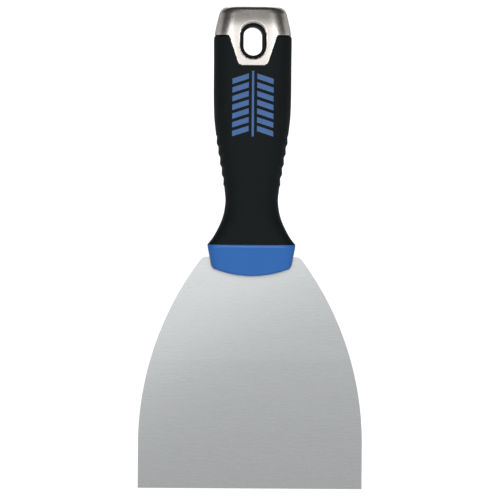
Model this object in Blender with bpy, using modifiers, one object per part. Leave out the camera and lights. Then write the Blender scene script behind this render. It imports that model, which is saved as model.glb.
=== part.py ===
"""A 4 inch joint knife with a hammer end cap, upright on its blade's edge.

+Z runs up the handle, X lies across the blade and -Y is the front. The origin is the centre of the
hang hole. The constants are millimetres, and heights are measured up from the blade's edge.
"""

import math

import bmesh
import bpy
from mathutils import Matrix, Vector

MM = 0.001
GAP = 0.3  # between pieces that touch in the real tool
CLEAR = 40.0  # how far a cutter runs past what it cuts
LENGTH = 218.3

# Hang hole
HOLE_Z = 202.7
HOLE_HALF = (4.35, 6.6)
METAL_HOLE_HALF = (5.95, 8.2)
COLLAR_HALF = (7.0, 9.0)
COLLAR_DEPTH = (6.3, 7.3)
EYELET_RECESS = 0.75

# Blade
BLADE_HALF = 50.8
BLADE_HALF_THICK = 0.55
EDGE_HALF_THICK = 0.28
GRIND_TOP = 60.0
SIDE_TOP = 20.2
FLANK_R = 139.5
SHOULDER_Z = 105.1
SHOULDER_R = 3.6

# Tang, which is one piece with the blade
TANG_TOP = 214.0
TANG_CORNER = 3.0
TANG_ROOT_R = 1.5
TANG = ((106.6, 9.0), (131.0, 7.2), (158.0, 9.0), (190.0, 9.5), (214.0, 9.5))

# Handle's outer skin: height, half width, half depth, squareness
SKIN = (
    (110.5, 20.15, 8.7, 4.8),
    (113.6, 17.7, 8.8, 4.2),
    (117.7, 15.4, 8.9, 3.6),
    (121.8, 13.6, 9.0, 3.1),
    (126.0, 12.48, 9.1, 2.8),
    (130.7, 12.0, 9.2, 2.7),
    (135.4, 12.42, 9.5, 2.7),
    (148.0, 14.45, 10.4, 2.8),
    (161.3, 16.58, 11.4, 2.9),
    (170.8, 17.47, 11.7, 3.0),
    (181.7, 17.65, 11.5, 3.1),
    (192.0, 17.65, 10.9, 3.2),
    (202.5, 17.72, 10.3, 3.3),
    (205.5, 17.6, 10.15, 3.3),
    (209.3, 16.95, 9.9, 3.2),
    (LENGTH, 14.75, 8.5, 3.1),
)
WALL = 2.0  # of the grip and the cap
CORE_INSET = WALL + GAP

# Grip and its side ribs
GRIP_Z = (110.8, 205.2)
GRIP_STEP = 4.2
HORN_CHAMFER = 1.2
RIB_TOP = 160.3
RIB_PITCH = 4.68
RIB_COUNT = 6
RIB_DEPTH = 0.25
RIB_EDGE = 0.22  # share of the pitch, each side of a step
RIB_REACH = 0.8  # share of the half width where a rib starts

# Hammer cap
CAP_Z = 205.5
CAP_INSET = 0.25
CAP_CORNER_R = 3.1  # of the top's ends, seen from the front
CAP_EDGE_R = 1.5  # of the top's front and rear edges
CAP_HEAD = 4.0
TONGUE_BOTTOM = 191.7
TONGUE_HALF = (10.95, 6.35)
TONGUE_CORNER = 2.3
TONGUE_ROOT_R = 1.4

# Bolster
BOLSTER_Z = (96.4, 110.5)
BOLSTER_TOP = (20.1, 9.1)
BOLSTER_SIDE_SLOPE = 0.2
BOLSTER_FACE_SLOPE = 0.17
BOLSTER_SQUARE = 6.0
BOLSTER_FILLET = 0.8
BOLSTER_ARC_R = 45.7
WEB_TOP = 106.7
TENON_HALF = (14.0, 5.5)

# Rivets
RIVET_Z = {"rivet_lower": 122.0, "rivet_middle": 150.0, "rivet_upper": 180.0}
RIVET_R = 2.0
RIVET_BORE_R = 1.2
RIVET_HEAD_R = 3.3
RIVET_HEAD_T = 0.8

ALONG_Y = Matrix.Rotation(math.radians(90), 4, "X")
ALONG_X = Matrix(((0, 0, 1, 0), (1, 0, 0, 0), (0, 1, 0, 0), (0, 0, 0, 1)))


# ---------------------------------------------------------------- outlines and sections


def slope_at(rows, i, column):
    """The skin's slope at one of its stations, level wherever the skin turns."""
    secants = [
        (rows[j + 1][column] - rows[j][column]) / (rows[j + 1][0] - rows[j][0])
        for j in (i - 1, i)
        if 0 <= j < len(rows) - 1
    ]
    if len(secants) == 1:
        return secants[0]
    below, above = secants
    return 0.0 if below * above <= 0 else 2 * below * above / (below + above)


def between(rows, z, column):
    """A smooth value between stations, held at the end values beyond them."""
    z = min(max(z, rows[0][0]), rows[-1][0])
    i = max(j for j in range(len(rows) - 1) if rows[j][0] <= z)
    step = rows[i + 1][0] - rows[i][0]
    t = (z - rows[i][0]) / step
    low, high = rows[i][column], rows[i + 1][column]
    rise = t * t * (3 - 2 * t)
    start = t * (1 - t) ** 2 * step * slope_at(rows, i, column)
    end = -t * t * (1 - t) * step * slope_at(rows, i + 1, column)
    return low + (high - low) * rise + start + end


def skin(z, inset=0.0):
    """Half width, half depth and squareness of the handle at a height."""
    return between(SKIN, z, 1) - inset, between(SKIN, z, 2) - inset, between(SKIN, z, 3)


def section(half_width, half_depth, squareness, count, dent=0.0):
    """A squared oval in X and Y, its two sides pressed in by dent."""
    points = []
    for i in range(count):
        turn = 2 * math.pi * (i + 0.5) / count
        c, s = math.cos(turn), math.sin(turn)
        across = abs(c) ** (2 / squareness)
        reach = max(0.0, (across - RIB_REACH) / (1 - RIB_REACH))
        x = half_width * across - dent * reach
        y = half_depth * abs(s) ** (2 / squareness)
        points.append((math.copysign(x, c), math.copysign(y, s)))
    return points


def rib_dent(z):
    """How far the grip's sides lie inside the plain taper: level runs, then short steps in."""
    lowest = RIB_TOP - RIB_PITCH * (RIB_COUNT - 1)
    if not lowest - RIB_EDGE * RIB_PITCH <= z <= RIB_TOP + RIB_EDGE * RIB_PITCH:
        return 0.0
    u = (z - RIB_TOP) / RIB_PITCH
    nearest = u - round(u)
    if abs(nearest) <= RIB_EDGE:
        dent = -RIB_DEPTH * nearest / RIB_EDGE
    else:
        dent = RIB_DEPTH * (2 * (u % 1 - RIB_EDGE) / (1 - 2 * RIB_EDGE) - 1)
    if z > RIB_TOP:
        return max(dent, 0.0)
    return min(dent, 0.0) if z < lowest else dent


def arc(centre, radius, start, end, steps):
    """Points along an arc, in degrees from +X."""
    turns = [math.radians(start + (end - start) * i / steps) for i in range(steps + 1)]
    return [(centre[0] + radius * math.cos(t), centre[1] + radius * math.sin(t)) for t in turns]


def mirrored(side):
    """The whole outline from its right side, listed from bottom to top."""
    return side + [(-x, z) for x, z in reversed(side)]


def stadium(half, steps=12):
    """A slot with round ends, standing upright on the hang hole's centre."""
    straight = half[1] - half[0]
    top = arc((0, HOLE_Z + straight), half[0], 0, 180, steps)
    return top + arc((0, HOLE_Z - straight), half[0], 180, 360, steps)


def tang_side(extra=0.0):
    """The tang's right edge, from just over the shoulder to its top corner."""
    heights = [TANG[0][0] + (TANG_TOP - TANG_CORNER - TANG[0][0]) * i / 16 for i in range(17)]
    side = [(between(TANG, z, 1) + extra, z) for z in heights]
    corner = (TANG[-1][1] - TANG_CORNER, TANG_TOP - TANG_CORNER)
    return side + arc(corner, TANG_CORNER + extra, 0, 90, 6)[1:]


def blade_outline():
    flank_x = BLADE_HALF - FLANK_R
    fillet_z = SHOULDER_Z - SHOULDER_R
    rise = fillet_z - SIDE_TOP
    run = math.sqrt((FLANK_R - SHOULDER_R) ** 2 - rise**2)
    meet = math.degrees(math.atan2(rise, run))
    side = [(BLADE_HALF, 0.0)]
    side += arc((flank_x, SIDE_TOP), FLANK_R, 0, meet, 28)
    side += arc((flank_x + run, fillet_z), SHOULDER_R, meet, 90, 6)[1:]
    root = (TANG[0][1] + TANG_ROOT_R, SHOULDER_Z + TANG_ROOT_R)
    side += arc(root, TANG_ROOT_R, 270, 180, 4)
    return mirrored(side + tang_side()[1:])


def tongue_side(extra=0.0):
    """The cap tongue's right edge, from the middle of its end up to the cap's lower edge."""
    top, bottom = TONGUE_HALF
    slope = (top - bottom) / (CAP_Z - TONGUE_BOTTOM)
    lean = math.atan(slope)
    turn = math.degrees(lean)
    radius = TONGUE_CORNER
    corner = (bottom + slope * radius - radius / math.cos(lean), TONGUE_BOTTOM + radius)
    side = arc(corner, radius + extra, 270, 360 - turn, 6)
    root_z = CAP_Z - TONGUE_ROOT_R
    root = (bottom + slope * (root_z - TONGUE_BOTTOM) + TONGUE_ROOT_R / math.cos(lean), root_z)
    return side + arc(root, TONGUE_ROOT_R - extra, 180 - turn, 90, 4)


# ---------------------------------------------------------------- solids


def collection(name, hidden=False):
    found = bpy.data.collections.new(name)
    bpy.context.scene.collection.children.link(found)
    found.hide_render = hidden
    return found


def place(mesh, name, group):
    """A mesh as an object, its heights moved so that the hang hole is the origin."""
    mesh.transform(Matrix.Translation((0, 0, -HOLE_Z)))
    mesh.transform(Matrix.Scale(MM, 4))
    mesh.name = name
    obj = bpy.data.objects.new(name, mesh)
    group.objects.link(obj)
    if group is CUTTERS:
        obj.hide_render = True
        obj.display_type = "WIRE"
    return obj


def prism(name, outline, group, near=-CLEAR, far=CLEAR, turn=ALONG_Y):
    """An outline extruded from near to far, along Y with (X, Z) points or along X with (Y, Z)."""
    curve = bpy.data.curves.new(name + "_outline", "CURVE")
    curve.dimensions = "2D"
    curve.fill_mode = "BOTH"
    curve.extrude = (far - near) / 2
    spline = curve.splines.new("POLY")
    spline.points.add(len(outline) - 1)
    for point, (u, v) in zip(spline.points, outline):
        point.co = (u, v, 0, 1)
    spline.use_cyclic_u = True
    guide = bpy.data.objects.new(name + "_guide", curve)
    bpy.context.scene.collection.objects.link(guide)
    bpy.context.view_layer.update()
    graph = bpy.context.evaluated_depsgraph_get()
    mesh = bpy.data.meshes.new_from_object(guide.evaluated_get(graph))
    mesh.transform(guide.matrix_world)
    bpy.data.objects.remove(guide)
    weld(mesh)
    middle = (near + far) / 2
    mesh.transform(turn)
    mesh.transform(Matrix.Translation((0, middle, 0) if turn is ALONG_Y else (middle, 0, 0)))
    return place(mesh, name, group)


def weld(mesh):
    bm = bmesh.new()
    bm.from_mesh(mesh)
    bmesh.ops.remove_doubles(bm, verts=bm.verts, dist=1e-4)
    bmesh.ops.recalc_face_normals(bm, faces=bm.faces)
    bm.to_mesh(mesh)
    bm.free()


def loft(name, rings, group):
    """A solid through level sections, given as (height, [(x, y), ...]) from bottom to top."""
    bm = bmesh.new()
    rows = [[bm.verts.new(Vector((x, y, z))) for x, y in ring] for z, ring in rings]
    for low, high in zip(rows, rows[1:]):
        for i in range(len(low)):
            bm.faces.new((low[i - 1], low[i], high[i], high[i - 1]))
    bm.faces.new(rows[0])
    bm.faces.new(rows[-1])
    bmesh.ops.recalc_face_normals(bm, faces=bm.faces)
    mesh = bpy.data.meshes.new(name)
    bm.to_mesh(mesh)
    bm.free()
    return place(mesh, name, group)


def box(name, x, y, z):
    """A cutter with the given low and high limits."""
    outline = [(x[0], z[0]), (x[1], z[0]), (x[1], z[1]), (x[0], z[1])]
    return prism(name, outline, CUTTERS, *y)


def rod(name, height, radius, near=-CLEAR, far=CLEAR):
    """A round cutter along Y through the handle's middle."""
    return prism(name, arc((0, height), radius, 0, 345, 23), CUTTERS, near, far)


def boolean(obj, other, operation="DIFFERENCE"):
    modifier = obj.modifiers.new(other.name, "BOOLEAN")
    modifier.operation = operation
    modifier.solver = "EXACT"
    modifier.object = other


def paint(obj, color, roughness, metallic=0.0):
    made = bpy.data.materials.new(obj.name)
    made.use_nodes = True
    shader = made.node_tree.nodes["Principled BSDF"]
    shader.inputs["Base Color"].default_value = (*color, 1)
    shader.inputs["Roughness"].default_value = roughness
    shader.inputs["Metallic"].default_value = metallic
    made.diffuse_color = (*color, 1)
    obj.data.materials.clear()
    obj.data.materials.append(made)


# ---------------------------------------------------------------- pieces


def hang_slot():
    return prism("hang_slot", stadium(METAL_HOLE_HALF), CUTTERS)


def rivet_holes():
    return [rod(name + "_hole", z, RIVET_R + GAP) for name, z in RIVET_Z.items()]


def build_blade(slot, holes):
    blade = prism("blade", blade_outline(), PARTS, -BLADE_HALF_THICK, BLADE_HALF_THICK)
    edge, full, top = EDGE_HALF_THICK, BLADE_HALF_THICK + 0.01, LENGTH + CLEAR
    side = [(edge, 0.0), (full, GRIND_TOP), (full, top)]
    grind = prism("grind", mirrored(side), CUTTERS, -2 * CLEAR, 2 * CLEAR, ALONG_X)
    boolean(blade, grind, "INTERSECT")
    for hole in (slot, *holes):
        boolean(blade, hole)
    paint(blade, (0.55, 0.57, 0.57), 0.32, 1.0)


def core_rings():
    tenon_z = (WEB_TOP + GAP, BOLSTER_Z[1] + GAP)
    rings = [(z, section(*TENON_HALF, BOLSTER_SQUARE, 32)) for z in tenon_z]
    top = LENGTH - CAP_HEAD - 1.3
    heights = [tenon_z[1], 113.6, 116.5, 119.5, 123.0, 127.0, 131.0, 136.0, 142.0, 149.0, 156.0]
    heights += [162.0, 168.0, 175.0, 182.0, 189.0, 196.0, 202.5, 206.0, 210.0, top]
    return rings + [(z, section(*skin(z, CORE_INSET), 32)) for z in heights]


def span(facing, near, far):
    """Limits along Y on the front (-1) or the rear (1), in rising order."""
    return sorted((facing * near, facing * far))


def build_core(name, facing, slot, holes):
    """One of the two hard half shells that clasp the tang under the grip."""
    core = loft(name, core_rings(), PARTS)
    wide, tall = (-CLEAR, CLEAR), (0.0, LENGTH + CLEAR)
    half = box(name + "_half", wide, span(facing, GAP / 2, CLEAR), tall)
    boolean(core, half, "INTERSECT")
    side = [(TANG[0][1] + GAP, 0.0)] + tang_side(GAP)
    pocket = BLADE_HALF_THICK + GAP
    boolean(core, prism(name + "_pocket", mirrored(side), CUTTERS, -pocket, pocket))
    for cutter in (slot, *holes):
        boolean(core, cutter)
    ring = stadium([half + GAP for half in COLLAR_HALF])
    seat = span(facing, COLLAR_DEPTH[0] - GAP, CLEAR)
    boolean(core, prism(name + "_seat", ring, CUTTERS, *seat))
    for rivet, z in RIVET_Z.items():
        head = span(facing, rivet_half(z) - RIVET_HEAD_T - GAP, CLEAR)
        boolean(core, rod(f"{name}_{rivet}_seat", z, RIVET_HEAD_R + GAP, *head))
    paint(core, (0.03, 0.03, 0.035), 0.5)


def rivet_half(z):
    """Half a rivet's length: its heads lie just under the core's surface."""
    return skin(z, CORE_INSET)[1] - GAP


def build_rivet(name, z):
    """A tubular rivet with a flat head at each end, turned about Y."""
    half = rivet_half(z)
    neck = half - RIVET_HEAD_T
    outer = [(RIVET_BORE_R, half), (RIVET_HEAD_R, half), (RIVET_HEAD_R, neck), (RIVET_R, neck)]
    outer += [(x, -y) for x, y in reversed(outer)]
    mesh = bpy.data.meshes.new(name)
    points = [(x * MM, 0, y * MM) for x, y in outer]
    edges = [(i, (i + 1) % len(points)) for i in range(len(points))]
    mesh.from_pydata(points, edges, [])
    rivet = bpy.data.objects.new(name, mesh)
    PARTS.objects.link(rivet)
    rivet.rotation_euler = (math.radians(90), 0, 0)
    rivet.location = (0, 0, (z - HOLE_Z) * MM)
    screw = rivet.modifiers.new("turn", "SCREW")
    screw.steps = screw.render_steps = 20
    screw.use_merge_vertices = True
    screw.merge_threshold = 1e-6
    paint(rivet, (0.45, 0.46, 0.47), 0.4, 1.0)


def grip_heights():
    steps = round((GRIP_Z[1] - HORN_CHAMFER - GRIP_Z[0]) / GRIP_STEP)
    plain = [GRIP_Z[0] + (GRIP_Z[1] - HORN_CHAMFER - GRIP_Z[0]) * i / steps for i in range(steps + 1)]
    edge = RIB_EDGE * RIB_PITCH
    centres = [RIB_TOP - RIB_PITCH * i for i in range(RIB_COUNT)]
    ribs = [z + side * edge for z in centres for side in (-1, 1)]
    clear = [z for z in plain if not min(ribs) - 1 < z < max(ribs) + 1]
    flare = [112.2, 113.6, 117.0, 121.5]
    return sorted(clear + ribs + flare)


def build_grip():
    rings = [(z, section(*skin(z), 44, rib_dent(z))) for z in grip_heights()]
    half_width, half_depth, squareness = skin(GRIP_Z[1])
    chamfered = section(half_width - HORN_CHAMFER / 2, half_depth - HORN_CHAMFER / 2, squareness, 44)
    grip = loft("grip", rings + [(GRIP_Z[1], chamfered)], PARTS)
    heights = [108.0, 110.5, 112.2, 114.0, 117.0, 120.5, 125.0, 131.0, 137.0, 146.0, 155.0]
    heights += [163.0, 171.0, 180.0, 188.0, 196.0, 202.5, 207.0]
    inner = [(z, section(*skin(z, WALL), 32)) for z in heights]
    boolean(grip, loft("grip_hollow", inner, CUTTERS))
    side = tongue_side(GAP)
    notch = side + [(side[-1][0], LENGTH)]
    boolean(grip, prism("tongue_notch", mirrored(notch), CUTTERS))
    paint(grip, (0.012, 0.013, 0.014), 0.6)


def rounding(below, radius):
    """How far a rounded edge has drawn in, at a distance below its top."""
    rise = max(0.0, radius - below)
    return radius - math.sqrt(radius**2 - rise**2)


def cap_rings():
    """The cap's outer skin, its top edge rounded more at the ends than on the front and rear."""
    rings = []
    heights = [TONGUE_BOTTOM - 1, 196.0, 201.0, CAP_Z, 209.3, 212.5]
    steps = 6
    for i in range(steps + 1):
        turn = math.radians(90 * i / steps)
        heights.append(LENGTH - CAP_CORNER_R * (1 - math.sin(turn)))
    for z in heights:
        half_width, half_depth, squareness = skin(z, CAP_INSET)
        half_width -= rounding(LENGTH - z, CAP_CORNER_R)
        half_depth -= rounding(LENGTH - z, CAP_EDGE_R)
        rings.append((z, section(half_width, half_depth, squareness, 48)))
    return rings


def build_cap(slot):
    cap = loft("hammer_cap", cap_rings(), PARTS)
    heights = [TONGUE_BOTTOM - 4, 196.0, 202.0, 206.0, 210.0, LENGTH - CAP_HEAD]
    inner = [(z, section(*skin(z, WALL), 32)) for z in heights]
    boolean(cap, loft("cap_hollow", inner, CUTTERS))
    side = tongue_side()
    around = [(CLEAR, CAP_Z), (CLEAR, TONGUE_BOTTOM - CLEAR)]
    outline = mirrored(list(reversed(side + around)))
    boolean(cap, prism("beside_tongue", outline, CUTTERS))
    boolean(cap, slot)
    paint(cap, (0.6, 0.59, 0.57), 0.28, 1.0)


def bolster_rings():
    low, top = BOLSTER_Z
    rings = []
    for z in (low - 0.6, 100.0, 104.0, top - BOLSTER_FILLET):
        drop = top - z
        width = BOLSTER_TOP[0] - BOLSTER_SIDE_SLOPE * drop
        depth = BOLSTER_TOP[1] - BOLSTER_FACE_SLOPE * drop
        rings.append((z, section(width, depth, BOLSTER_SQUARE, 48)))
    for i in range(1, 4):
        turn = math.radians(90 * i / 3)
        z = top - BOLSTER_FILLET * (1 - math.sin(turn))
        inset = BOLSTER_FILLET * (1 - math.cos(turn))
        edge = section(BOLSTER_TOP[0] - inset / 2, BOLSTER_TOP[1] - inset, BOLSTER_SQUARE, 48)
        rings.append((z, edge))
    return rings


def build_bolster():
    bolster = loft("bolster", bolster_rings(), PARTS)
    reach = math.degrees(math.asin(24.0 / BOLSTER_ARC_R))
    centre = (0, BOLSTER_Z[0] + BOLSTER_ARC_R)
    lower = arc(centre, BOLSTER_ARC_R, 270 - reach, 270 + reach, 30)
    below = lower + [(lower[-1][0], 80.0), (lower[0][0], 80.0)]
    boolean(bolster, prism("lip_edge", below, CUTTERS))
    slit = BLADE_HALF_THICK + GAP
    wide = TANG[0][1] + TANG_ROOT_R + GAP
    shoulder = SHOULDER_Z + GAP
    side = [(CLEAR, 60.0), (CLEAR, shoulder), (wide, shoulder), (wide, LENGTH)]
    boolean(bolster, prism("blade_slit", mirrored(side), CUTTERS, -slit, slit))
    pocket = section(TENON_HALF[0] + GAP, TENON_HALF[1] + GAP, BOLSTER_SQUARE, 32)
    boolean(bolster, loft("tenon_pocket", [(WEB_TOP, pocket), (LENGTH, pocket)], CUTTERS))
    paint(bolster, (0.045, 0.16, 0.44), 0.4)


def build_eyelet(name, facing):
    """Half of the oval liner of the hang hole, with a collar under the cap's wall."""
    rim = stadium([half - GAP for half in METAL_HOLE_HALF])
    end = skin(HOLE_Z, CAP_INSET)[1] - EYELET_RECESS
    eyelet = prism(name, rim, PARTS, *span(facing, GAP / 2, end))
    collar = prism(name + "_collar", stadium(COLLAR_HALF), CUTTERS, *span(facing, *COLLAR_DEPTH))
    boolean(eyelet, collar, "UNION")
    boolean(eyelet, prism(name + "_way", stadium(HOLE_HALF), CUTTERS))
    paint(eyelet, (0.02, 0.02, 0.02), 0.45)


for old in list(bpy.data.objects):
    bpy.data.objects.remove(old, do_unlink=True)
PARTS = collection("hammer_end_joint_knife")
CUTTERS = collection("cutters", hidden=True)

the_slot = hang_slot()
the_holes = rivet_holes()
build_blade(the_slot, the_holes)
build_core("front_core", -1, the_slot, the_holes)
build_core("rear_core", 1, the_slot, the_holes)
for rivet_name, rivet_z in RIVET_Z.items():
    build_rivet(rivet_name, rivet_z)
build_grip()
build_cap(the_slot)
build_bolster()
build_eyelet("eyelet_front", -1)
build_eyelet("eyelet_rear", 1)
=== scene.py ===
"""The looks of a hammer-end joint knife: smooth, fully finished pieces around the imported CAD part.

The tool's own sizes are in millimetres, and its heights are measured up from the blade's edge. The
scene is in metres, with its origin at the centre of the hang hole; stage, lights and camera use metres.
"""

import math

import bmesh
import bpy
import numpy as np
from mathutils import Matrix, Vector


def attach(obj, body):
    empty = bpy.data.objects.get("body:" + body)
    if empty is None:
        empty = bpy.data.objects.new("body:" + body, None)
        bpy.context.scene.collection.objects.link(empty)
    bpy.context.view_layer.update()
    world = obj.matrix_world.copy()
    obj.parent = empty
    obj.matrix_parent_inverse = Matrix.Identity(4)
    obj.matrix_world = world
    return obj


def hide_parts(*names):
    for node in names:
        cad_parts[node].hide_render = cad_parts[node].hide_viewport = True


MM = 0.001
HOLE_Z = 202.7
LENGTH = 218.3
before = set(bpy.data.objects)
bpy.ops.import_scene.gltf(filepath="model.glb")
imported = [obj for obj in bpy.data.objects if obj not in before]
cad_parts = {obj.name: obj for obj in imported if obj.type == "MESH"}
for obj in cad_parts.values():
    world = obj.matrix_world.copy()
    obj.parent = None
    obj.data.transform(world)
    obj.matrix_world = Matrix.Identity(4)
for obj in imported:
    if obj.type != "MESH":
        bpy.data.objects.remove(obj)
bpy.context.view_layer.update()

# ---------------------------------------------------------------- dimensions of the tool

SKIN = (  # height, half width, half depth, squareness
    (110.5, 20.15, 8.7, 4.8),
    (113.6, 17.7, 8.8, 4.2),
    (117.7, 15.4, 8.9, 3.6),
    (121.8, 13.6, 9.0, 3.1),
    (126.0, 12.48, 9.1, 2.8),
    (130.7, 12.0, 9.2, 2.7),
    (135.4, 12.42, 9.5, 2.7),
    (148.0, 14.45, 10.4, 2.8),
    (161.3, 16.58, 11.4, 2.9),
    (170.8, 17.47, 11.7, 3.0),
    (181.7, 17.65, 11.5, 3.1),
    (192.0, 17.65, 10.9, 3.2),
    (202.5, 17.72, 10.3, 3.3),
    (205.5, 17.6, 10.15, 3.3),
    (209.3, 16.95, 9.9, 3.2),
    (LENGTH, 14.75, 8.5, 3.1),
)
AROUND = 240  # points round a section of the skin
WALL = 2.0  # of the grip and the cap
GAP = 0.3  # between pieces, where it doesn't show
SEAM = 0.12  # between pieces, where it does
SEAM_ROUND = 0.25  # of the grip's edge along a seam
NEARBY = 2.0  # further than this from an edge, nothing is eased

GRIP_Z = (110.5, 205.35)
GRIP_INSET = 0.06
GRIP_TOP_ROUND = (1.2, 1.08)  # down the handle, and into it
RIB_TOP = 160.3
RIB_PITCH = 4.68
RIB_COUNT = 6
RIB_DEPTH = 0.25
RIB_EDGE = 0.22
RIB_REACH = 0.8  # how far out, as a share of the half width, the ribs start
RIB_FADE = 0.7
RIB_ZONE = (135.5, 162.0)  # where the grip is finely divided for its ribs

CAP_Z = 205.5
CAP_INSET = 0.25
CAP_CORNER_R = 3.1  # of the top's corners, seen from the front
CAP_EDGE_R = 1.5  # and seen from the side
CAP_RIM_ROUND = 0.2
CAP_HEAD = 4.0  # thickness of the metal under the strike face
STRIKE_FACE = (0.4, 0.1)  # its duller finish starts and is whole at these depths below the top
TONGUE_BOTTOM = 191.7
TONGUE_HALF = (10.95, 6.35)
TONGUE_CORNER = 2.3
TONGUE_ROOT_R = 1.4
TONGUE_ZONE = 191.0  # the grip is finely divided from here up

HOLE_HALF = (4.35, 6.6)
METAL_HOLE_HALF = (5.95, 8.2)
METAL_HOLE_ROUND = 0.3
HOLE_PRESS = 0.75  # how deep the cap's metal is pressed in at the hole's top
HOLE_PRESS_SLOPE = 0.9
RIM_SUNK = 1.05  # the eyelet's edges, below the cap's plain skin
RIM_BULGE = 0.3
COLLAR_HALF = (7.0, 9.0)
COLLAR_DEPTH = (6.3, 7.3)

BOLSTER_Z = (96.4, 110.5)
BOLSTER_TOP = (20.1, 9.1)
BOLSTER_SIDE_SLOPE = 0.2
BOLSTER_FACE_SLOPE = 0.17
BOLSTER_SQUARE = 6.0
BOLSTER_ARC_R = 45.7
BOLSTER_ARC_HALF = 24.0  # half the lower arc's width, which is past the bolster's sides
BOLSTER_EDGE_R = 1.0
LIP_HIGH = 1.25
LIP_IN = 0.62
LIP_ROUND = 0.2
LIP_FLAT = 0.8
LIP_SIDE_SHARE = 0.3  # of the bevel's lean that its sides have
LIP_ROUND_SHARE = 0.6  # of its rounding that goes inwards
WEB_TOP = 106.7
TENON_HALF = (14.0, 5.5)

BLADE_HALF = 50.8
BLADE_HALF_THICK = 0.55
EDGE_HALF_THICK = 0.28
EDGE_EASE = 0.05
LAND_TOP = 3.6  # of the narrow band that is ground along the edge
LAND_FADE = (0.4, 0.2)  # its finish fades out from this far below its top to this far above
GRIND_TOP = 60.0
BLADE_CHAMFER = 0.08
SIDE_TOP = 20.2
FLANK_R = 139.5
SHOULDER_Z = 105.1
SHOULDER_R = 3.6
TANG_TOP = 214.0
TANG_CORNER = 3.0
TANG_ROOT_R = 1.5
TANG = ((106.6, 9.0), (131.0, 7.2), (158.0, 9.0), (190.0, 9.5), (214.0, 9.5))
RIVET_Z = (122.0, 150.0, 180.0)
RIVET_HOLE_R = 2.3

CLEAR = 40.0  # how far a cutter runs past what it cuts
SKIM = 0.01  # keeps a cutter's face off the face it would lie on
CLOSE = 0.002  # points nearer than this are one point

# ---------------------------------------------------------------- stage and camera, in metres

FLOOR_Z = -0.502  # 0.3 under the blade's edge, below the camera's view
BACKDROP_Y = 3.5
BACKDROP_BEND = 0.5
STAGE_HALF = 6.0
STAGE_TOP = 6.0
STAGE_BOUNCE = 0.20  # how bright the stage is in reflections
STAGE_WHITE = 1.0  # and to the camera
CAMERA_DISTANCE = 2.5
CAMERA_VIEW = 0.2268  # width of what it sees at the tool
CAMERA_TURN = 1.2  # degrees left of square on
CAMERA_ROLL = -0.42  # degrees
CAMERA_X = -0.0006
CAMERA_HEIGHT = 108.2  # millimetres above the blade's edge

# ---------------------------------------------------------------- sections and outlines


def slope_at(rows, i, column):
    secants = [
        (rows[j + 1][column] - rows[j][column]) / (rows[j + 1][0] - rows[j][0])
        for j in (i - 1, i)
        if 0 <= j < len(rows) - 1
    ]
    if len(secants) == 1:
        return secants[0]
    below, above = secants
    return 0.0 if below * above <= 0 else 2 * below * above / (below + above)


def between(rows, z, column):
    """A smooth value between stations, held at the end values beyond them."""
    z = min(max(z, rows[0][0]), rows[-1][0])
    i = max(j for j in range(len(rows) - 1) if rows[j][0] <= z)
    step = rows[i + 1][0] - rows[i][0]
    t = (z - rows[i][0]) / step
    low, high = rows[i][column], rows[i + 1][column]
    rise = t * t * (3 - 2 * t)
    start = t * (1 - t) ** 2 * step * slope_at(rows, i, column)
    end = -t * t * (1 - t) * step * slope_at(rows, i + 1, column)
    return low + (high - low) * rise + start + end


def skin(z, inset=0.0):
    return between(SKIN, z, 1) - inset, between(SKIN, z, 2) - inset, between(SKIN, z, 3)


def section(half_width, half_depth, squareness, count=AROUND):
    """Points of a squared oval at even steps along it, with their outward normals."""
    turn = np.linspace(0, 2 * np.pi, 12 * count + 1)
    c, s = np.cos(turn), np.sin(turn)
    x = half_width * np.sign(c) * np.abs(c) ** (2 / squareness)
    y = half_depth * np.sign(s) * np.abs(s) ** (2 / squareness)
    run = np.concatenate([[0], np.cumsum(np.hypot(np.diff(x), np.diff(y)))])
    at = np.arange(count) / count * run[-1]
    points = np.column_stack([np.interp(at, run, x), np.interp(at, run, y)])
    scaled = points / (half_width, half_depth)
    normals = np.sign(scaled) * np.abs(scaled) ** (squareness - 1) / (half_width, half_depth)
    return points, normals / np.linalg.norm(normals, axis=1)[:, None]


def face_depth(x, z, inset=0.0):
    """How far the handle's front stands out from the middle at a point of the outline."""
    width, depth, squareness = skin(z, inset)
    return depth * (1 - min(abs(x) / width, 1.0) ** squareness) ** (1 / squareness)


def arc(centre, radius, start, end, steps):
    turns = [math.radians(start + (end - start) * i / steps) for i in range(steps + 1)]
    return [(centre[0] + radius * math.cos(t), centre[1] + radius * math.sin(t)) for t in turns]


def mirrored(side):
    return side + [(-x, z) for x, z in reversed(side)]


def stadium(half, steps=32):
    """A slot with round ends, standing upright on the hang hole's centre."""
    straight = half[1] - half[0]
    top = arc((0, HOLE_Z + straight), half[0], 0, 180, steps)
    return top + arc((0, HOLE_Z - straight), half[0], 180, 360, steps)


def tongue_side(extra=0.0):
    """The cap tongue's right edge, from its end up to the cap's lower edge."""
    top, bottom = TONGUE_HALF
    slope = (top - bottom) / (CAP_Z - TONGUE_BOTTOM)
    lean = math.atan(slope)
    turn = math.degrees(lean)
    radius = TONGUE_CORNER
    corner = (bottom + slope * radius - radius / math.cos(lean), TONGUE_BOTTOM + radius)
    side = arc(corner, radius + extra, 270, 360 - turn, 16)
    root_z = CAP_Z - TONGUE_ROOT_R
    root = (bottom + slope * (root_z - TONGUE_BOTTOM) + TONGUE_ROOT_R / math.cos(lean), root_z)
    return side + arc(root, TONGUE_ROOT_R - extra, 180 - turn, 90, 10)


def tang_side(extra=0.0):
    heights = np.linspace(TANG[0][0], TANG_TOP - TANG_CORNER, 60)
    side = [(between(TANG, z, 1) + extra, z) for z in heights]
    corner = (TANG[-1][1] - TANG_CORNER, TANG_TOP - TANG_CORNER)
    return side + arc(corner, TANG_CORNER + extra, 0, 90, 12)[1:]


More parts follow.
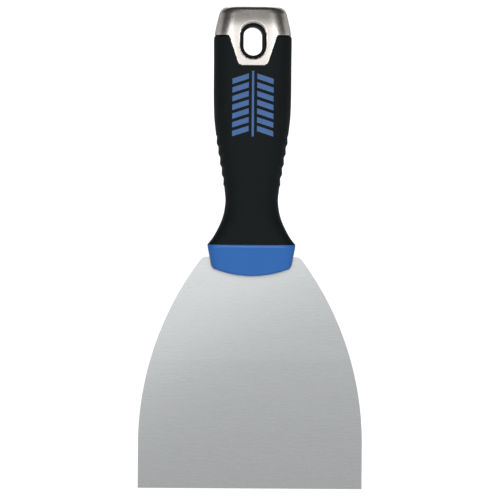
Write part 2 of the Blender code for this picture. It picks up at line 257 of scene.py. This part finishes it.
def blade_outline():
    flank_x = BLADE_HALF - FLANK_R
    fillet_z = SHOULDER_Z - SHOULDER_R
    rise = fillet_z - SIDE_TOP
    run = math.sqrt((FLANK_R - SHOULDER_R) ** 2 - rise**2)
    meet = math.degrees(math.atan2(rise, run))
    side = [(BLADE_HALF, 0.0)]
    side += arc((flank_x, SIDE_TOP), FLANK_R, 0, meet, 90)
    side += arc((flank_x + run, fillet_z), SHOULDER_R, meet, 90, 16)[1:]
    root = (TANG[0][1] + TANG_ROOT_R, SHOULDER_Z + TANG_ROOT_R)
    side += arc(root, TANG_ROOT_R, 270, 180, 8)
    return mirrored(side + tang_side()[1:])


def distance_to(points, line):
    """Each point's distance from an open run of straight pieces."""
    best = np.full(len(points), np.inf)
    for a, b in zip(np.array(line[:-1]), np.array(line[1:])):
        along = b - a
        t = np.clip((points - a) @ along / (along @ along), 0, 1)
        best = np.minimum(best, np.linalg.norm(points - a - t[:, None] * along, axis=1))
    return best


def round_over(distance, radius):
    """How far a surface sinks near an edge that has this radius."""
    into = np.clip(radius - distance, 0, radius)
    return radius - np.sqrt(radius**2 - into**2)


# ---------------------------------------------------------------- meshes


def level(z):
    """A height above the blade's edge, in millimetres, as a height in the scene."""
    return (z - HOLE_Z) * MM


def to_scene(points):
    return [Vector((x * MM, y * MM, level(z))) for x, y, z in points]


def new_object(name, bm):
    bmesh.ops.recalc_face_normals(bm, faces=bm.faces)
    mesh = bpy.data.meshes.new(name)
    bm.to_mesh(mesh)
    bm.free()
    obj = bpy.data.objects.new(name, mesh)
    bpy.context.scene.collection.objects.link(obj)
    return obj


def skinned(name, rows, loop=False):
    """A solid through rows of points: joined end to end as a ring, or else closed by two caps."""
    bm = bmesh.new()
    made = [[bm.verts.new(v) for v in to_scene(row)] for row in rows]
    pairs = list(zip(made, made[1:] + ([made[0]] if loop else [])))
    for low, high in pairs:
        for i in range(len(low)):
            bm.faces.new((low[i - 1], low[i], high[i], high[i - 1]))
    if not loop:
        bm.faces.new(made[0])
        bm.faces.new(made[-1])
    return new_object(name, bm)


def row_of(points, z):
    return np.column_stack([points, np.full(len(points), z)])


def from_front(points, z):
    """A section's points as the front view shows them, in X and Z."""
    return row_of(points, z)[:, [0, 2]]


def prism(name, outline, near=-CLEAR, far=CLEAR, across=False):
    """An outline in X and Z run along Y, or across: an outline in Y and Z run along X."""
    bm = bmesh.new()
    ends = []
    for depth in (near, far):
        row = [(depth, u, v) if across else (u, depth, v) for u, v in outline]
        ends.append([bm.verts.new(p) for p in to_scene(row)])
    for i in range(len(outline)):
        bm.faces.new((ends[0][i - 1], ends[0][i], ends[1][i], ends[1][i - 1]))
    bm.faces.new(ends[0])
    bm.faces.new(ends[1])
    return new_object(name, bm)


def cut(obj, others, operation="DIFFERENCE"):
    """Works the Booleans out at once and removes the cutters."""
    for other in others:
        modifier = obj.modifiers.new("cut", "BOOLEAN")
        modifier.operation = operation
        modifier.solver = "EXACT"
        modifier.object = other
    settle(obj)
    for other in others:
        bpy.data.objects.remove(other)
    clean(obj.data)


def clean(mesh):
    """Drops what a cut leaves over: points almost on each other, and points that join only two edges."""
    bm = bmesh.new()
    bm.from_mesh(mesh)
    bmesh.ops.remove_doubles(bm, verts=bm.verts, dist=CLOSE * MM)
    spare = [vert for vert in bm.verts if len(vert.link_edges) == 2]
    bmesh.ops.dissolve_verts(bm, verts=spare)
    bmesh.ops.triangulate(bm, faces=[face for face in bm.faces if len(face.verts) > 4])
    bm.to_mesh(mesh)
    bm.free()


def settle(obj):
    """Turns a piece's modifiers into its mesh."""
    graph = bpy.context.evaluated_depsgraph_get()
    mesh = bpy.data.meshes.new_from_object(obj.evaluated_get(graph))
    obj.modifiers.clear()
    obj.data = mesh


def smooth(obj, degrees=38):
    obj.data.polygons.foreach_set("use_smooth", [True] * len(obj.data.polygons))
    obj.data.set_sharp_from_angle(angle=math.radians(degrees))


def finish_piece(obj, made, slot, *nodes):
    obj.data.materials.clear()
    obj.data.materials.append(made)
    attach(obj, "root")
    if nodes:
        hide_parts(*nodes)


# ---------------------------------------------------------------- materials


class Look:
    """A Principled material and short ways to add nodes to it."""

    def __init__(self, name, **sockets):
        self.material = bpy.data.materials.new(name)
        self.material.use_nodes = True
        self.tree = self.material.node_tree
        self.shader = self.tree.nodes["Principled BSDF"]
        for socket, value in sockets.items():
            self.shader.inputs[socket.replace("_", " ")].default_value = value
        self.where = self.tree.nodes.new("ShaderNodeTexCoord").outputs["Object"]

    def add(self, kind, links=(), **settings):
        node = self.tree.nodes.new("ShaderNode" + kind)
        for key, value in settings.items():
            node.inputs[key.replace("_", " ")].default_value = value
        for socket, source in dict(links).items():
            self.tree.links.new(source, node.inputs[socket])
        return node

    def noise(self, size, detail=4.0, rough=0.55, stretch=(1, 1, 1)):
        """Noise whose grains are about size millimetres, drawn out along some axes."""
        scale = tuple(1 / (size * MM * s) for s in stretch)
        mapped = self.add("Mapping", {"Vector": self.where}, Scale=scale)
        found = self.add(
            "TexNoise", {"Vector": mapped.outputs[0]}, Scale=1.0, Detail=detail, Roughness=rough
        )
        return found.outputs["Fac"]

    def spread(self, fac, low, high, start=0.3, end=0.7):
        """A factor turned into a number between low and high."""
        limits = {"From_Min": start, "From_Max": end, "To_Min": low, "To_Max": high}
        return self.add("MapRange", {"Value": fac}, **limits).outputs["Result"]

    def blend(self, fac, first, second):
        """Two colours, or outputs, mixed by a factor."""
        node = self.tree.nodes.new("ShaderNodeMix")
        node.data_type = "RGBA"
        self.tree.links.new(fac, node.inputs["Factor"])
        for socket, value in ((node.inputs[6], first), (node.inputs[7], second)):
            if isinstance(value, tuple):
                socket.default_value = (*value, 1)
            else:
                self.tree.links.new(value, socket)
        return node.outputs[2]

    def mix(self, fac, first, second):
        """Two numbers mixed by a factor."""
        node = self.add("Mix", {"Factor": fac})
        self.tree.links.new(first, node.inputs[2])
        self.tree.links.new(second, node.inputs[3])
        return node.outputs[0]

    def height(self, fac, distance, strength=1.0, under=None):
        links = {"Height": fac}
        if under is not None:
            links["Normal"] = under
        node = self.add("Bump", links, Strength=strength, Distance=distance * MM)
        return node.outputs["Normal"]

    def to(self, socket, source):
        self.tree.links.new(source, self.shader.inputs[socket])

    def axis(self, name):
        split = self.add("SeparateXYZ", {"Vector": self.where})
        return split.outputs[name]


def steel_blade():
    look = Look("satin_blade_steel", Metallic=1.0)
    lines = look.noise(0.16, 3, 0.6, (90, 1, 1))
    broad = look.noise(9.0, 3, 0.5, (4, 1, 1))
    tone = look.blend(lines, (0.642, 0.660, 0.666), (0.655, 0.673, 0.679))
    cloudy = look.blend(look.spread(broad, 0.0, 0.25), tone, (0.69, 0.705, 0.707))
    below, above = LAND_FADE
    land = look.spread(look.axis("Z"), 1, 0, level(LAND_TOP - below), level(LAND_TOP + above))
    ground = look.blend(lines, (0.665, 0.682, 0.682), (0.695, 0.710, 0.710))
    look.to("Base Color", look.blend(land, cloudy, ground))
    look.to("Roughness", look.spread(lines, 0.265, 0.28))
    look.to("Normal", look.height(lines, 0.003, 0.03))
    return look.material


def steel_cap():
    look = Look("polished_cap_steel", Metallic=1.0)
    fine = look.noise(0.12, 3, 0.6, (1, 1, 10))
    broad = look.noise(3.5, 4, 0.55)
    tone = look.blend(fine, (0.77, 0.735, 0.69), (0.86, 0.825, 0.775))
    plain = look.blend(look.spread(broad, 0.0, 0.3), tone, (0.72, 0.685, 0.64))
    starts, whole = STRIKE_FACE
    face = look.spread(look.axis("Z"), 0, 1, level(LENGTH - starts), level(LENGTH - whole))
    worn = look.blend(broad, (0.66, 0.63, 0.59), (0.82, 0.79, 0.75))
    look.to("Base Color", look.blend(face, plain, worn))
    polish = look.spread(broad, 0.24, 0.28)
    matt = look.spread(fine, 0.46, 0.58)
    look.to("Roughness", look.mix(face, polish, matt))
    look.to("Normal", look.height(fine, 0.004, 0.3, look.height(broad, 0.002, 0.2)))
    return look.material


def rubber():
    look = Look("soft_black_rubber", Specular_IOR_Level=0.14)
    grain = look.noise(0.22, 2, 0.5)
    broad = look.noise(7.0, 4, 0.6)
    tone = look.blend(grain, (0.0125, 0.0165, 0.0175), (0.0170, 0.0222, 0.0235))
    look.to("Base Color", look.blend(look.spread(broad, 0.0, 0.5), tone, (0.020, 0.0255, 0.027)))
    look.to("Roughness", look.spread(broad, 0.50, 0.62))
    look.to("Normal", look.height(grain, 0.02, 0.35))
    return look.material


def blue_plastic():
    look = Look("blue_bolster_plastic", Specular_IOR_Level=0.42)
    grain = look.noise(0.18, 2, 0.5)
    broad = look.noise(6.0, 4, 0.55)
    tone = look.blend(grain, (0.033, 0.192, 0.635), (0.038, 0.212, 0.69))
    look.to("Base Color", look.blend(look.spread(broad, 0.0, 0.4), tone, (0.040, 0.196, 0.61)))
    look.to("Roughness", look.spread(broad, 0.32, 0.42))
    look.to("Normal", look.height(grain, 0.012, 0.25))
    return look.material


def blue_ink():
    look = Look("blue_print_ink", Specular_IOR_Level=0.4)
    grain = look.noise(0.25, 3, 0.6)
    wear = look.noise(1.6, 5, 0.7)
    tone = look.blend(grain, (0.118, 0.285, 0.70), (0.148, 0.33, 0.78))
    look.to("Base Color", look.blend(look.spread(wear, 0.0, 0.5, 0.55, 0.8), tone, (0.06, 0.15, 0.36)))
    look.to("Roughness", look.spread(grain, 0.42, 0.58))
    look.to("Normal", look.height(grain, 0.01, 0.3))
    return look.material


def black_plastic(name="black_eyelet_plastic", base=0.004):
    look = Look(name, Specular_IOR_Level=0.25)
    grain = look.noise(0.15, 2, 0.5)
    broad = look.noise(3.0, 4, 0.6)
    tone = look.blend(grain, (base, base * 0.95, base * 0.9), (base * 1.7, base * 1.6, base * 1.5))
    look.to("Base Color", tone)
    look.to("Roughness", look.spread(broad, 0.38, 0.55))
    look.to("Normal", look.height(grain, 0.012, 0.3))
    return look.material


def rivet_steel():
    look = Look("rivet_steel", Metallic=1.0)
    grain = look.noise(0.2, 4, 0.6)
    look.to("Base Color", look.blend(grain, (0.36, 0.37, 0.38), (0.52, 0.53, 0.54)))
    look.to("Roughness", look.spread(grain, 0.32, 0.5))
    look.to("Normal", look.height(grain, 0.01, 0.3))
    return look.material


# ---------------------------------------------------------------- blade


def build_blade():
    blade = prism("blade_steel", blade_outline(), -BLADE_HALF_THICK, BLADE_HALF_THICK)
    edge, full = EDGE_HALF_THICK, BLADE_HALF_THICK + SKIM
    land = edge + (full - edge) * LAND_TOP / GRIND_TOP
    side = [(edge - EDGE_EASE, 0.0), (land, LAND_TOP), (full, GRIND_TOP), (full, LENGTH + CLEAR)]
    cut(blade, [prism("grind", mirrored(side), -2 * CLEAR, 2 * CLEAR, across=True)], "INTERSECT")
    holes = [prism("hang_slot", stadium(METAL_HOLE_HALF))]
    holes += [prism(f"hole_{z:.0f}", arc((0, z), RIVET_HOLE_R, 0, 360, 48)[:-1]) for z in RIVET_Z]
    cut(blade, holes)
    bevel = blade.modifiers.new("eased_edges", "BEVEL")
    bevel.width = BLADE_CHAMFER * MM
    bevel.segments = 2
    bevel.limit_method = "ANGLE"
    bevel.angle_limit = math.radians(40)
    settle(blade)
    finish_piece(blade, steel_blade(), "blade_steel", "blade")


# ---------------------------------------------------------------- grip


def rib_dent(z):
    """How far the grip's sides lie inside the plain taper: level runs, then short steps in."""
    lowest = RIB_TOP - RIB_PITCH * (RIB_COUNT - 1)
    edge = RIB_EDGE * RIB_PITCH
    if not lowest - edge <= z <= RIB_TOP + edge:
        return 0.0
    u = (z - RIB_TOP) / RIB_PITCH
    nearest = u - round(u)
    if abs(nearest) <= RIB_EDGE:
        dent = -RIB_DEPTH * math.sin(math.pi / 2 * nearest / RIB_EDGE)
    else:
        dent = RIB_DEPTH * (2 * (u % 1 - RIB_EDGE) / (1 - 2 * RIB_EDGE) - 1)
    if z > RIB_TOP:
        return max(dent, 0.0)
    return min(dent, 0.0) if z < lowest else dent


def grip_row(z, rim):
    """A section of the grip, with its ribs, its top rounded over and its edge along the tongue eased."""
    points, normals = section(*skin(z, GRIP_INSET))
    half_width = skin(z, GRIP_INSET)[0]
    reach = np.clip((np.abs(points[:, 0]) / half_width - RIB_REACH) / (1 - RIB_REACH), 0, 1)
    points[:, 0] -= np.sign(points[:, 0]) * rib_dent(z) * reach**RIB_FADE
    down, into = GRIP_TOP_ROUND
    sink = np.full(len(points), round_over(GRIP_Z[1] - z, down) * into / down)
    if z > TONGUE_BOTTOM - NEARBY:
        sink += round_over(distance_to(from_front(points, z), rim), SEAM_ROUND)
    return row_of(points - normals * sink[:, None], z)


def build_grip():
    low, top = GRIP_Z
    ribs_low, ribs_top = RIB_ZONE
    rounding = GRIP_TOP_ROUND[0]
    heights = np.concatenate([
        np.arange(low, ribs_low - 0.3, 0.7),
        np.arange(ribs_low, ribs_top, 0.3),
        np.arange(ribs_top + 0.6, TONGUE_ZONE - 0.4, 1.2),
        np.arange(TONGUE_ZONE, top - rounding, 0.3),
        top - rounding * (1 - np.sin(np.linspace(0, math.pi / 2, 9))),
    ])
    side = tongue_side(SEAM)
    rim = [(-x, z) for x, z in reversed(side)] + side
    outer = [grip_row(z, rim) for z in heights]
    inner = [row_of(section(*skin(z, WALL), 120)[0], z) for z in np.linspace(low - 2, top + 2, 40)]
    grip = skinned("grip_rubber", outer)
    notch = prism("tongue_notch", mirrored(side + [(side[-1][0], LENGTH)]))
    cut(grip, [skinned("grip_hollow", inner), notch])
    smooth(grip)
    finish_piece(grip, rubber(), "grip_rubber", "grip")


# ---------------------------------------------------------------- cap


def cap_row(z, rim, hole, inset=0.0):
    """A section of the cap, its edges eased and its metal pressed in round the top of the hang hole."""
    half_width, half_depth, squareness = skin(z, CAP_INSET + inset)
    half_width -= round_over(LENGTH - z, CAP_CORNER_R)
    half_depth -= round_over(LENGTH - z, CAP_EDGE_R)
    points, normals = section(half_width, half_depth, squareness)
    flat = from_front(points, z)
    sink = np.zeros(len(points))
    if z < CAP_Z + NEARBY:
        sink += round_over(distance_to(flat, rim), CAP_RIM_ROUND)
    if abs(z - HOLE_Z) < METAL_HOLE_HALF[1] + NEARBY:
        away = distance_to(flat, hole)
        pressed = HOLE_PRESS * max(z - HOLE_Z, 0) / METAL_HOLE_HALF[1]
        sink += np.maximum(round_over(away, METAL_HOLE_ROUND), HOLE_PRESS_SLOPE * (pressed - away))
    return row_of(points - normals * sink[:, None], z)


def build_cap():
    rim = [(CLEAR, CAP_Z)] + list(reversed(tongue_side()))
    rim = rim + [(-x, z) for x, z in reversed(rim)]
    hole = stadium(METAL_HOLE_HALF)
    hole.append(hole[0])
    lowest = TONGUE_BOTTOM - GAP
    heights = list(np.arange(lowest, LENGTH - CAP_CORNER_R, 0.25))
    heights += [LENGTH - CAP_CORNER_R * (1 - math.sin(t)) for t in np.linspace(0, math.pi / 2, 20)]
    outer = [cap_row(z, rim, hole) for z in heights]
    outer += [cap_row(LENGTH, rim, hole, inset) for inset in (0.3, 1.5, 4.0)]
    inner_heights = np.linspace(LENGTH - CAP_HEAD, lowest, 24)
    inner = [row_of(section(*skin(z, WALL))[0], z) for z in inner_heights]
    cap = skinned("cap_steel", inner + outer)
    beside = tongue_side() + [(CLEAR, CAP_Z), (CLEAR, TONGUE_BOTTOM - CLEAR)]
    around = mirrored(list(reversed(beside)))
    cut(cap, [prism("beside_tongue", around), prism("metal_hole", stadium(METAL_HOLE_HALF))])
    smooth(cap)
    finish_piece(cap, steel_cap(), "cap_steel", "hammer_cap")


# ---------------------------------------------------------------- bolster


def bolster_size(z):
    drop = BOLSTER_Z[1] - z
    width = BOLSTER_TOP[0] - BOLSTER_SIDE_SLOPE * drop
    return width, BOLSTER_TOP[1] - BOLSTER_FACE_SLOPE * drop, BOLSTER_SQUARE


def bolster_lip(z, inset):
    """A section of the bevel along the bolster's top, which leans in mostly on its front and rear."""
    width, depth, squareness = bolster_size(z)
    return row_of(section(width - inset * LIP_SIDE_SHARE, depth - inset, squareness)[0], z)


def build_bolster():
    low, top = BOLSTER_Z
    reach = math.degrees(math.asin(BOLSTER_ARC_HALF / BOLSTER_ARC_R))
    lower = arc((0, low + BOLSTER_ARC_R), BOLSTER_ARC_R, 270 - reach, 270 + reach, 80)
    rows = []
    for z in np.arange(low - 0.4, top - LIP_HIGH, 0.3):
        points, normals = section(*bolster_size(z))
        sink = round_over(distance_to(from_front(points, z), lower), BOLSTER_EDGE_R)
        rows.append(row_of(points - normals * sink[:, None], z))
    for share in (0.0, 0.12, 0.5, 0.8):
        rows.append(bolster_lip(top - LIP_HIGH * (1 - share), LIP_IN * share))
    for turn in np.linspace(0, math.pi / 2, 6)[1:]:
        inset = LIP_IN + LIP_ROUND * (1 - math.cos(turn)) * LIP_ROUND_SHARE
        rows.append(bolster_lip(top - LIP_ROUND * (1 - math.sin(turn)), inset))
    rows.append(bolster_lip(top, LIP_IN + LIP_FLAT))
    bolster = skinned("bolster_plastic", rows)
    slit = BLADE_HALF_THICK + GAP
    wide = TANG[0][1] + TANG_ROOT_R + GAP
    shoulder = SHOULDER_Z + GAP
    side = [(CLEAR, low - CLEAR), (CLEAR, shoulder), (wide, shoulder), (wide, LENGTH)]
    pocket = section(TENON_HALF[0] + GAP, TENON_HALF[1] + GAP, BOLSTER_SQUARE, 96)[0]
    cut(bolster, [
        prism("lip_edge", lower + [(lower[-1][0], low - CLEAR), (lower[0][0], low - CLEAR)]),
        prism("blade_slit", mirrored(side), -slit, slit),
        skinned("tenon_pocket", [row_of(pocket, WEB_TOP), row_of(pocket, LENGTH)]),
    ])
    smooth(bolster)
    finish_piece(bolster, blue_plastic(), "bolster_plastic", "bolster")


# ---------------------------------------------------------------- eyelets


def build_eyelet(name, node, facing, made):
    """An oval liner swept round the hang hole, its rounded rim following the cap's face."""
    outer, inner = METAL_HOLE_HALF[0] - GAP, HOLE_HALF[0]
    middle, half = (outer + inner) / 2, (outer - inner) / 2
    rim = [(middle + half * math.cos(t), math.sin(t)) for t in np.linspace(0, math.pi, 13)]
    near, far = COLLAR_DEPTH
    wide = COLLAR_HALF[0]
    inside = [(inner, GAP / 2), (outer, GAP / 2), (outer, near), (wide, near), (wide, far), (outer, far)]
    straight = HOLE_HALF[1] - HOLE_HALF[0]
    rows = []
    for turn in np.linspace(0, 2 * math.pi, 96, endpoint=False):
        c, s = math.cos(turn), math.sin(turn)
        lift = math.copysign(straight, s) if abs(s) > 1e-9 else 0.0
        row = []
        for radius, bulge in rim:
            z = HOLE_Z + lift + radius * s
            face = face_depth(radius * c, z, CAP_INSET) - RIM_SUNK + RIM_BULGE * bulge
            row.append((radius * c, facing * face, z))
        for radius, depth in inside:
            row.append((radius * c, facing * depth, HOLE_Z + lift + radius * s))
        rows.append(row)
    eyelet = skinned(name, rows, loop=True)
    smooth(eyelet, 50)
    finish_piece(eyelet, made, "eyelet_plastic", node)


# ---------------------------------------------------------------- print


PRINT_Z = (159.5, 189.1)
PRINT_X = (1.9, 9.3)
PRINT_LINE_HALF = 0.5
PRINT_BARS = 7
PRINT_RISE = 2.4
PRINT_SHARE = 0.62  # of the bars' pitch that is ink
INK = 0.03  # half the film's thickness


def ink_patch(bm, corners, across, up):
    """A thin film on the grip's front over a four-sided patch, closed all round."""
    (ax, az), (bx, bz), (cx, cz), (dx, dz) = corners
    layers = []
    for lift in (INK, -INK):
        grid = []
        for j in range(up + 1):
            v = j / up
            row = []
            for i in range(across + 1):
                u = i / across
                x = (1 - v) * ((1 - u) * ax + u * bx) + v * ((1 - u) * dx + u * cx)
                z = (1 - v) * ((1 - u) * az + u * bz) + v * ((1 - u) * dz + u * cz)
                row.append((x, -face_depth(x, z, GRIP_INSET) - lift, z))
            grid.append([bm.verts.new(p) for p in to_scene(row)])
        layers.append(grid)
    for grid in layers:
        for low, high in zip(grid, grid[1:]):
            for i in range(across):
                bm.faces.new((low[i], low[i + 1], high[i + 1], high[i]))
    rims = [
        grid[0] + [row[-1] for row in grid[1:]] + grid[-1][-2::-1] + [row[0] for row in grid[-2:0:-1]]
        for grid in layers
    ]
    for i in range(len(rims[0])):
        bm.faces.new((rims[0][i - 1], rims[0][i], rims[1][i], rims[1][i - 1]))


def build_print():
    """A plain herringbone in ink: slanted bars either side of a line."""
    bm = bmesh.new()
    low, top = PRINT_Z
    half = PRINT_LINE_HALF
    ink_patch(bm, [(-half, low), (half, low), (half, top), (-half, top)], 2, 40)
    pitch = (top - low - PRINT_RISE + (1 - PRINT_SHARE)) / PRINT_BARS
    thick = pitch * PRINT_SHARE
    near, far = PRINT_X
    for side in (-1, 1):
        for i in range(PRINT_BARS):
            base = low + i * pitch
            corners = [
                (side * near, base + PRINT_RISE), (side * far, base),
                (side * far, base + thick), (side * near, base + PRINT_RISE + thick),
            ]
            ink_patch(bm, corners, 12, 3)
    marks = new_object("grip_print", bm)
    smooth(marks, 50)
    finish_piece(marks, blue_ink(), "grip_rubber")


# ---------------------------------------------------------------- stage


def build_stage():
    """A pale floor, wide enough for a camera on any side, that curves up into a backdrop."""
    bend = BACKDROP_BEND
    profile = [(-STAGE_HALF, FLOOR_Z)]
    for turn in np.linspace(0, math.pi / 2, 17):
        profile.append((BACKDROP_Y - bend * (1 - math.sin(turn)), FLOOR_Z + bend * (1 - math.cos(turn))))
    profile.append((BACKDROP_Y, STAGE_TOP))
    bm = bmesh.new()
    rows = [[bm.verts.new((x, y, z)) for x in (-STAGE_HALF, STAGE_HALF)] for y, z in profile]
    for a, b in zip(rows, rows[1:]):
        bm.faces.new((a[0], a[1], b[1], b[0]))
    sweep = new_object("floor_sweep", bm)
    smooth(sweep)
    made = bpy.data.materials.new("pale_floor")
    made.use_nodes = True
    shader = made.node_tree.nodes["Principled BSDF"]
    shader.inputs["Base Color"].default_value = (0.86, 0.86, 0.86, 1)
    shader.inputs["Roughness"].default_value = 0.9
    shader.inputs["Emission Color"].default_value = (1, 1, 1, 1)
    seen = made.node_tree.nodes.new("ShaderNodeLightPath").outputs["Is Camera Ray"]
    glow = made.node_tree.nodes.new("ShaderNodeMapRange")
    glow.inputs["To Min"].default_value = STAGE_BOUNCE
    glow.inputs["To Max"].default_value = STAGE_WHITE
    made.node_tree.links.new(seen, glow.inputs["Value"])
    made.node_tree.links.new(glow.outputs["Result"], shader.inputs["Emission Strength"])
    sweep.data.materials.append(made)


SIDES = (("left", -1), ("right", 1))


def panel(name, middle, size, radiance, aim=None, roll=0.0):
    """A soft panel whose brightness is given as what a mirror would show of it."""
    place = Vector(middle)
    target = Vector(aim) if aim else Vector((place.x, 0, place.z))
    light = bpy.data.lights.new(name, "AREA")
    light.shape = "RECTANGLE"
    light.size, light.size_y = size
    light.energy = radiance * math.pi * size[0] * size[1]
    obj = bpy.data.objects.new(name, light)
    bpy.context.scene.collection.objects.link(obj)
    obj.location = place
    facing = (target - place).to_track_quat("-Z", "Y").to_matrix().to_4x4()
    obj.rotation_euler = (facing @ Matrix.Rotation(math.radians(roll), 4, "Z")).to_euler()
    obj.visible_camera = False
    return obj


def build_world():
    """White to the camera; in reflections, a glow up to the horizon that fades to near dark overhead."""
    world = bpy.data.worlds.new("studio")
    bpy.context.scene.world = world
    world.use_nodes = True
    nodes, links = world.node_tree.nodes, world.node_tree.links
    split = nodes.new("ShaderNodeSeparateXYZ")
    shade = nodes.new("ShaderNodeMapRange")
    links.new(nodes.new("ShaderNodeTexCoord").outputs["Generated"], split.inputs[0])
    links.new(split.outputs["Z"], shade.inputs["Value"])
    for socket, value in (("From Min", 0.05), ("From Max", 0.35), ("To Min", 0.30), ("To Max", 0.04)):
        shade.inputs[socket].default_value = value
    seen = nodes.new("ShaderNodeLightPath").outputs["Is Camera Ray"]
    pale = nodes.new("ShaderNodeMath")
    pale.operation = "MAXIMUM"
    links.new(shade.outputs["Result"], pale.inputs[0])
    links.new(seen, pale.inputs[1])
    nodes["Background"].inputs["Color"].default_value = (1, 1, 1, 1)
    links.new(pale.outputs[0], nodes["Background"].inputs["Strength"])


def build_lights():
    panel("front_panel", (0, -0.9, 0.101), size=(0.95, 0.398), radiance=1.0)
    panel("low_panel", (0, -0.9, -0.31), size=(0.5, 0.40), radiance=0.20)
    for name, side in SIDES:
        panel(f"strip_{name}", (side * 0.40, -0.85, 0.09), size=(0.17, 0.50), radiance=1.8, aim=(0, 0, 0))
    panel("rear_high", (0, 1.0, 1.0), size=(0.9, 0.5), radiance=1.2, aim=(0, 0, -0.05))


def shine_on(light, *pieces):
    only = bpy.data.collections.new(light.name + "_pieces")
    for piece in pieces:
        only.objects.link(bpy.data.objects[piece])
    light.light_linking.receiver_collection = only


def light_pieces():
    """Lights that each fall only on the pieces named after them."""
    lip = panel("lip_light", (0, -1.2, 0.85), size=(0.7, 0.35), radiance=7.0, aim=(0, 0, -0.1))
    shine_on(lip, "bolster_plastic")
    wash = panel("blade_wash", (-0.050, -0.18, -0.105), size=(0.193, 0.094), radiance=0.29, roll=35)
    shine_on(wash, "blade_steel")
    rear = panel("rear_panel", (0, 0.9, -0.05), size=(0.8, 0.6), radiance=0.6, aim=(0, 0, -0.1))
    shine_on(rear, "blade_steel", "bolster_plastic", "eyelet_rim_rear")
    for name, side in SIDES:
        card = panel(f"rim_{name}", (side, 0.1, 0.05), size=(0.9, 0.8), radiance=0.32, aim=(0, 0, 0))
        shine_on(card, "cap_steel")


def build_camera():
    """Level with the bolster and a little left of square on, rolled as much as the tool leans."""
    turn = math.radians(CAMERA_TURN)
    camera = bpy.data.cameras.new("photo_camera")
    camera.sensor_width = 36.0
    camera.lens = camera.sensor_width * CAMERA_DISTANCE / CAMERA_VIEW
    camera.clip_end = 20
    obj = bpy.data.objects.new("photo_camera", camera)
    bpy.context.scene.collection.objects.link(obj)
    back = Vector((-math.sin(turn), -math.cos(turn), 0)) * CAMERA_DISTANCE
    obj.location = back + Vector((CAMERA_X, 0, level(CAMERA_HEIGHT)))
    obj.rotation_euler = (math.radians(90), math.radians(CAMERA_ROLL), -turn)
    bpy.context.scene.camera = obj


def finish_inner_pieces():
    """Better materials on the CAD's own cores and rivets, which are carried over."""
    core_look = black_plastic("black_core_plastic", base=0.025)
    rivet_look = rivet_steel()
    for node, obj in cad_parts.items():
        if node.endswith("_core") or node.startswith("rivet"):
            obj.data.materials.clear()
            obj.data.materials.append(core_look if node.endswith("_core") else rivet_look)


build_stage()
build_world()
build_lights()
build_camera()
build_blade()
build_grip()
build_cap()
build_bolster()
eyelet_look = black_plastic()
build_eyelet("eyelet_rim_front", "eyelet_front", -1, eyelet_look)
build_eyelet("eyelet_rim_rear", "eyelet_rear", 1, eyelet_look)
build_print()
finish_inner_pieces()
light_pieces()
bpy.context.scene.view_settings.view_transform = "Standard"
